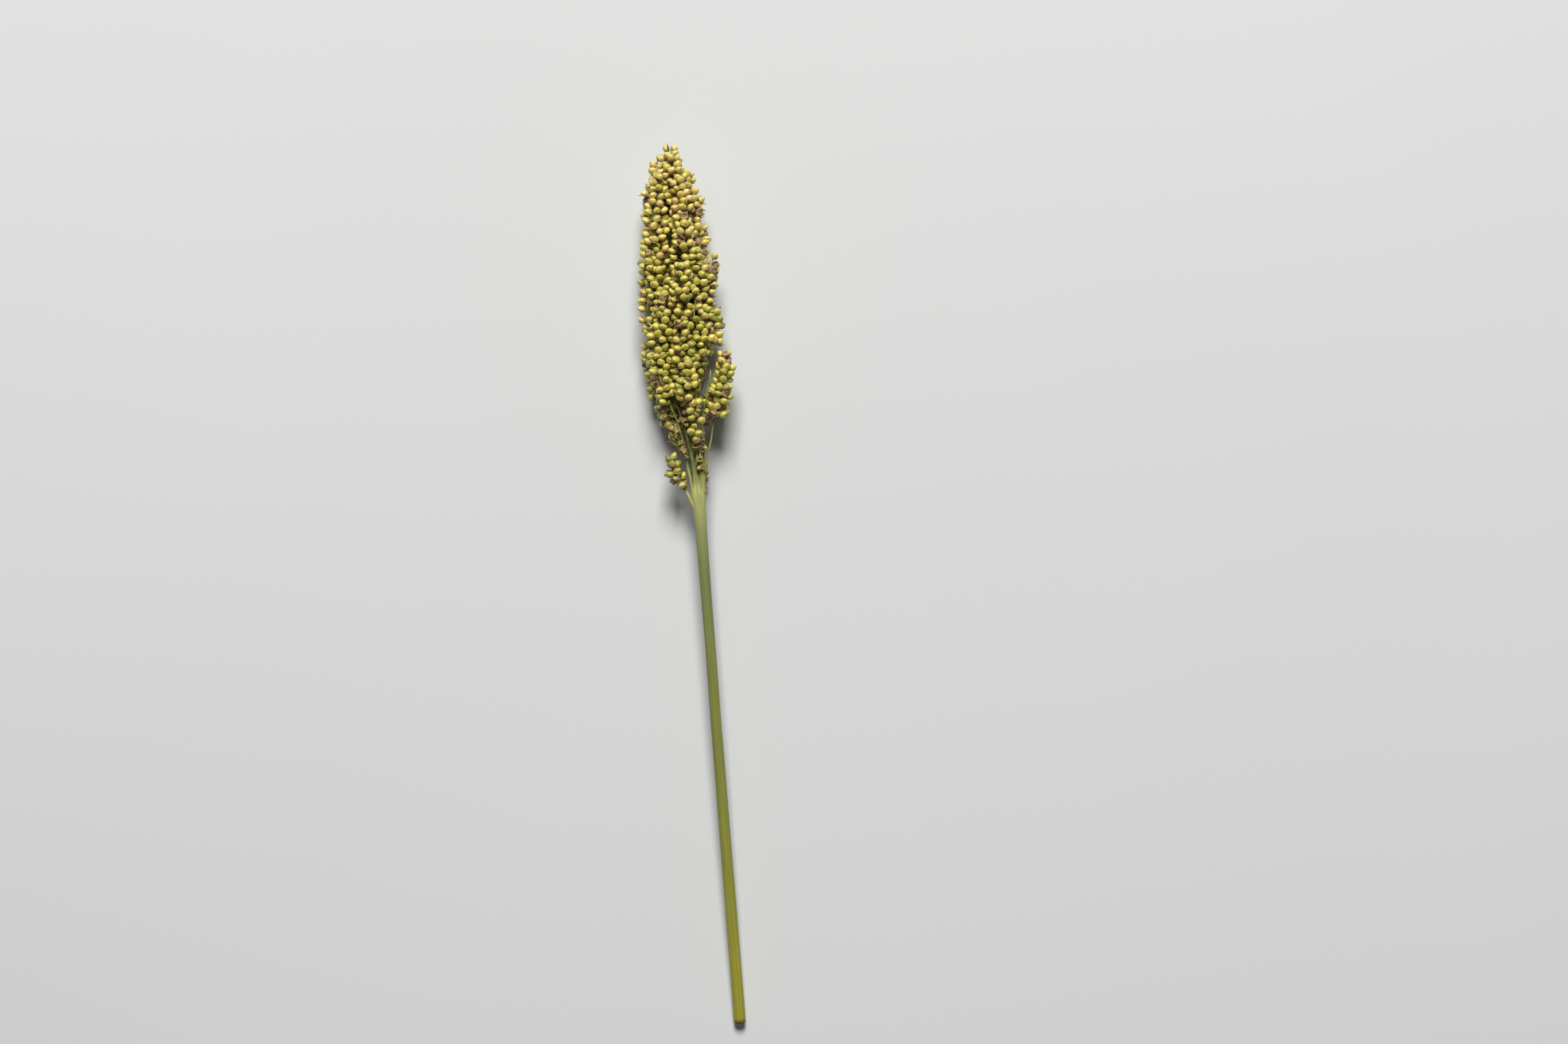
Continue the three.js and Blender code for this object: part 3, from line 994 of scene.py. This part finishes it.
pedicel = {
    "sides": 4,
    "footRadius": 0.26,
    "topRadius": 0.2,
    "shortest": 0.8,
    "meets": 0.9,    # where it meets its grain, of the grain's half length down from the middle,
    "sunk": 0.4,     # how far it goes into the grain,
    "overrun": 0.6,  # and how much longer it is for both ends to be covered
}


def pedicelModel():
    bm = bmesh.new()
    bmesh.ops.create_cone(bm, cap_ends=True, segments=pedicel["sides"], radius1=pedicel["footRadius"],
                          radius2=pedicel["topRadius"], depth=1)
    floatLayers(bm)
    bmesh.ops.translate(bm, vec=(0, 0, 0.5), verts=bm.verts)
    return meshOf(bm, "pedicelModel")


def matrixOf(centre, across, thick, out, shape=(1, 1, 1)):
    turn = Matrix((across, thick, out)).transposed().to_4x4()
    return Matrix.Translation(centre) @ turn @ Matrix.Diagonal((*shape, 1))


grainColours = {
    "byRipeness": [
        (0.04, rgb(126, 136, 34)), (0.22, rgb(192, 188, 66)), (0.5, rgb(224, 208, 96)),
        (0.75, rgb(233, 209, 118)), (0.97, rgb(230, 190, 118)),
    ],
    # dark green at a grain's foot: partly its own greener foot, partly painted shade where it sits in its
    # husk
    "foot": rgb(118, 124, 28),
    "mottle": rgb(176, 142, 40),
    "speck": rgb(130, 88, 40),
    "apexDot": rgb(78, 50, 26),
}
grainGloss = {
    "Coat Weight": 0.8,
    "Coat Roughness": 0.48,
    "Subsurface Weight": 0.08,
    "Subsurface Radius": (0.9, 0.7, 0.2),
    "Subsurface Scale": 0.0012,
}


def grainMaterial():
    material, tree, surface = startMaterial("grainSkin", 0.38)
    place = objectPlace(tree)
    along = between(tree, lengthwise(tree, place), 0.06, 0.24)
    patches = noiseOn(tree, place, 45, 2)
    tint = attribute(tree, "tint")
    drawn = combine(tree, "MULTIPLY", tint, 0.42)
    warm = combine(tree, "ADD", drawn, combine(tree, "MULTIPLY", along, 0.36))
    warm = combine(tree, "ADD", warm, between(tree, patches, 0.35, 0.65, -0.1, 0.2))
    skin = colourRamp(tree, warm, grainColours["byRipeness"])
    apex = attribute(tree, "along")
    # the foot of each grain darkened: partly its greener colour, partly painted shade inside the husk
    foot = tinge(tree, apex, 0.6, 0.15, 0.75, skin, grainColours["foot"])
    mottle = noiseOn(tree, place, 520, 3, 0.6)
    mottled = tinge(tree, mottle, 0.5, 0.72, 0.35, foot, grainColours["mottle"])
    specks = noiseOn(tree, place, 1500, 2, 0.5)
    specked = tinge(tree, specks, 0.7, 0.76, 0.5, mottled, grainColours["speck"])
    dot = tinge(tree, apex, 0.968, 0.99, 0.85, specked, grainColours["apexDot"])
    plug(tree, dot, surface.inputs["Base Color"])
    for socket, value in grainGloss.items():
        surface.inputs[socket].default_value = value
    bumpOn(tree, surface, mottle, 0.00005)
    return material


huskColours = {
    "byDryness": [
        (0.2, rgb(150, 150, 60)), (0.46, rgb(186, 172, 88)), (0.64, rgb(182, 154, 98)),
        (0.8, rgb(150, 112, 84)), (0.95, rgb(106, 66, 56)),
    ],
    "foot": rgb(124, 128, 60),
    # pale rim colour: partly the husk's papery margin, partly a painted highlight along the lit rim
    "edge": rgb(220, 202, 150),
    "blotch": rgb(112, 66, 58),
    "vein": rgb(216, 200, 156),
}


def huskMaterial():
    material, tree, surface = startMaterial("huskPaper", 0.6)
    place = objectPlace(tree)
    tint = attribute(tree, "tint")
    along = attribute(tree, "along")
    blotch = noiseOn(tree, place, 260, 3, 0.6)
    drawn = combine(tree, "MULTIPLY", tint, 0.62)
    tone = combine(tree, "ADD", drawn, combine(tree, "MULTIPLY", blotch, 0.5))
    body = colourRamp(tree, tone, huskColours["byDryness"])
    foot = tinge(tree, along, 0.6, 0.1, 0.6, body, huskColours["foot"])
    # paler towards the rim: partly the papery margin, partly a painted highlight on the lit edge
    edge = between(tree, along, 0.86, 0.98, 0.0, 0.2)
    paleMarginAndHighlight = mixColour(tree, edge, foot, huskColours["edge"])
    blots = between(tree, blotch, 0.56, 0.66, 0.0, 0.7)
    brown = combine(tree, "MULTIPLY", between(tree, along, 0.45, 0.8), blots)
    browned = mixColour(tree, brown, paleMarginAndHighlight, huskColours["blotch"])
    veins = noiseOn(tree, stretched(tree, place, (1, 0.25, 1)), 1900, 2)
    veined = tinge(tree, veins, 0.45, 0.7, 0.3, browned, huskColours["vein"])
    plug(tree, veined, surface.inputs["Base Color"])
    bumpOn(tree, surface, veins, 0.00008)
    return material


def spikeletMaterial():
    material, tree, surface = startMaterial("sterileSpikelet", 0.6)
    tint = attribute(tree, "tint")
    along = attribute(tree, "along")
    body = colourRamp(tree, tint, [
        (0.1, rgb(168, 158, 104)), (0.4, rgb(172, 146, 108)), (0.65, rgb(140, 108, 88)),
        (0.95, rgb(104, 74, 70)),
    ])
    tipped = tinge(tree, along, 0.5, 0.95, 0.8, body, rgb(66, 50, 44))
    veins = noiseOn(tree, stretched(tree, objectPlace(tree), (1, 0.2, 1)), 2200, 2)
    plug(tree, tinge(tree, veins, 0.5, 0.7, 0.35, tipped, rgb(192, 172, 134)),
         surface.inputs["Base Color"])
    bumpOn(tree, surface, veins, 0.00006)
    return material


def openSets(finishes):
    sets = {name: bmesh.new() for name in finishes}
    for bm in sets.values():
        floatLayers(bm)
    return sets


def addStick(bm, model, start, way, thick, length):
    turn = way.to_track_quat("Z", "Y").to_matrix().to_4x4()
    stretch = Matrix.Diagonal((thick, thick, length, 1))
    addCopy(bm, model, Matrix.Translation(start) @ turn @ stretch, 0)


def makeGrainPieces(places, stalkSkin):
    models = {"grain": grainModel(), "spikelet": spikeletModel(), "pedicel": pedicelModel(),
              "empty": huskModel("emptyHuskModel", emptyHusk)}
    for number, form in enumerate(huskForms):
        models["husk" + str(number)] = huskModel("huskModel" + str(number), form)
    finishes = {"grains": grainMaterial(), "husks": huskMaterial(), "spikelets": spikeletMaterial(),
                "pedicels": stalkSkin}
    draw = makeDraw(plant["seed"] + 2)
    for owner in ["seed_head", *looseSprays]:
        sets = openSets(finishes)
        for place in places:
            if place["owner"] == owner:
                addGrain(sets, models, place, draw)
        for name, material in finishes.items():
            finishPiece(sets[name], name + "_" + owner, [material], [owner])
    return models, finishes


greeningAndPaintedShade = {"from": -2.4, "over": 5, "least": 0.15}  # grains further in are greener and darker: partly their own less ripe colour, partly painted shade in the gaps between clusters


def addGrain(sets, models, place, draw):
    across, thick, out = place["across"], place["thick"], place["out"]
    matrix = matrixOf(place["centre"], across, thick, out, place["shape"])
    if place["kind"] < grain["emptyShare"] and not place["owner"].startswith("spray_low"):
        addCopy(sets["husks"], models["empty"], matrix, draw(0.3, 1))
    else:
        # painted shade: a deeper grain takes a darker green as well as its own greener colour
        ripenessAndShade = 1 + (place["depth"] - greeningAndPaintedShade["from"]) / greeningAndPaintedShade["over"]
        tint = place["tint"] * min(1, max(greeningAndPaintedShade["least"], ripenessAndShade))
        addCopy(sets["grains"], models["grain"], matrix, tint)
        if place["depth"] > grain["huskless"]:
            number = min(2, int(draw(0, 3)))
            addCopy(sets["husks"], models["husk" + str(number)], matrix, draw(0, 1))
    foot = place["centre"] - out * place["half"][2] * pedicel["meets"]
    inward = place["axis"] - foot
    start = foot - inward.normalized() * pedicel["sunk"]
    length = max(pedicel["shortest"], inward.length) + pedicel["overrun"]
    addStick(sets["pedicels"], models["pedicel"], start, inward, 1, length)
    for sideWay in (-1, 1):
        if draw(0, 1) > spikelet["share"] or place["depth"] < grain["huskless"]:
            continue
        behind = spikelet["behind"] if draw(0, 1) > 0.5 else -spikelet["behind"]
        besideWay = across * sideWay * spikelet["beside"] + thick * behind
        splayed = out + besideWay * draw(*spikelet["splay"])
        tipWay = (splayed + place["ahead"] * draw(*spikelet["lift"])).normalized()
        base = foot + besideWay * spikelet["off"]
        crossWay = tipWay.cross(besideWay).normalized()
        size = draw(*spikelet["size"])
        dryMatrix = matrixOf(base, crossWay, tipWay.cross(crossWay), tipWay, (size, size, size))
        addCopy(sets["spikelets"], models["spikelet"], dryMatrix, draw(0, 1))


frills = [  # dry husks and threads round the bare stalks: where, how many, and how brown
    {"along": 27, "around": 42, "out": 6.5, "spread": 3.4, "count": 26, "brown": (0.7, 1.0)},
    {"along": 17, "around": 50, "out": 5.0, "spread": 4.5, "count": 26, "brown": (0.0, 0.45)},
    {"along": 24, "around": 132, "out": 7.0, "spread": 4.5, "count": 26, "brown": (0.5, 1.0)},
    {"along": 34, "around": 142, "out": 10.0, "spread": 6.0, "count": 48, "brown": (0.1, 0.65)},
    {"along": 33, "around": 188, "out": 9.5, "spread": 6.0, "count": 36, "brown": (0.2, 0.8)},
    {"along": 42, "around": 102, "out": 8.0, "spread": 4.5, "count": 22, "brown": (0.3, 0.8)},
    {"along": 13, "around": 10, "out": 5.0, "spread": 2.2, "count": 6, "brown": (0.1, 0.5)},
    {"along": 2, "around": 8, "out": 3.9, "spread": 0.9, "count": 3, "brown": (0.6, 0.9)},
    {"along": 30, "around": 240, "out": 8.0, "spread": 5.0, "count": 30, "brown": (0.3, 0.9)},
]
frill = {
    "size": (0.38, 0.72),
    "aroundSpread": 14,       # degrees
    "outSpread": 0.45,        # of the bunch's own spread
    "outward": (0.2, 1),      # ranges that its direction is drawn from
    "sideways": (-0.8, 0.8),
    "ahead": (-0.2, 1),
    "upward": (-0.5, 0.8),
    "huskEvery": 3,           # the others are spikelets
    "huskThick": 0.9,
    "spikeletThick": 0.8,
    "threadEvery": 2,
    "threadBack": (0.5, 4.5),  # where a thread starts: further back, round and in
    "threadAround": (-0.35, 0.35),
    "threadIn": (1, 4),
    "threadLeast": 1.5,
    "threadThick": 0.8,
}


def makeFrills(models, finishes):
    sets = openSets(finishes)
    draw = makeDraw(plant["seed"] + 3)
    for bunch in frills:
        for i in range(bunch["count"]):
            along = bunch["along"] + bunch["spread"] * draw(-1, 1)
            around = math.radians(bunch["around"] + frill["aroundSpread"] * draw(-1, 1))
            out = bunch["out"] + frill["outSpread"] * bunch["spread"] * draw(-1, 1)
            centre = placeAround(along, around, out)
            outward = (centre - axisPoint(along)).normalized() * draw(*frill["outward"])
            astray = Vector([draw(*frill[name]) for name in ("sideways", "ahead", "upward")])
            way = (outward + astray).normalized()
            crossWay = way.orthogonal().normalized()
            crossWay.rotate(Matrix.Rotation(draw(0, 2 * math.pi), 3, way))
            brown = draw(*bunch["brown"])
            size = draw(*frill["size"])
            isHusk = i % frill["huskEvery"] == 0
            thin = size * frill["spikeletThick"]
            shape = (size, size * frill["huskThick"], size) if isHusk else (thin, thin, size)
            matrix = matrixOf(centre, crossWay, way.cross(crossWay), way, shape)
            if isHusk:
                addCopy(sets["husks"], models["empty"], matrix, brown)
            else:
                addCopy(sets["spikelets"], models["spikelet"], matrix, brown)
            rootAlong = along - draw(*frill["threadBack"])
            rootAround = around + draw(*frill["threadAround"])
            rootOut = max(frill["threadLeast"], out - draw(*frill["threadIn"]))
            root = placeAround(rootAlong, rootAround, rootOut)
            reach = centre - root
            if i % frill["threadEvery"] == 0:
                thick = frill["threadThick"]
                addStick(sets["pedicels"], models["pedicel"], root, reach, thick, reach.length)
    for name in ("husks", "spikelets", "pedicels"):
        finishPiece(sets[name], "frill_" + name, [finishes[name]], ["seed_head"])


clusters = growClusters()
sprays = {name: bowed(spray) for name, spray in looseSprays.items()}
makeStem([stemMaterial(), pithMaterial()])
stalkSkin = stalkMaterial()
makeStalks([*clusters, *sprays.values()], stalkSkin)
places = chooseGrains(grainCandidates(clusters, sprays), clusters, sprays)
print(len(places), "grains placed")
settleGrains(places)
print("grains settled")
models, finishes = makeGrainPieces(places, stalkSkin)
makeFrills(models, finishes)
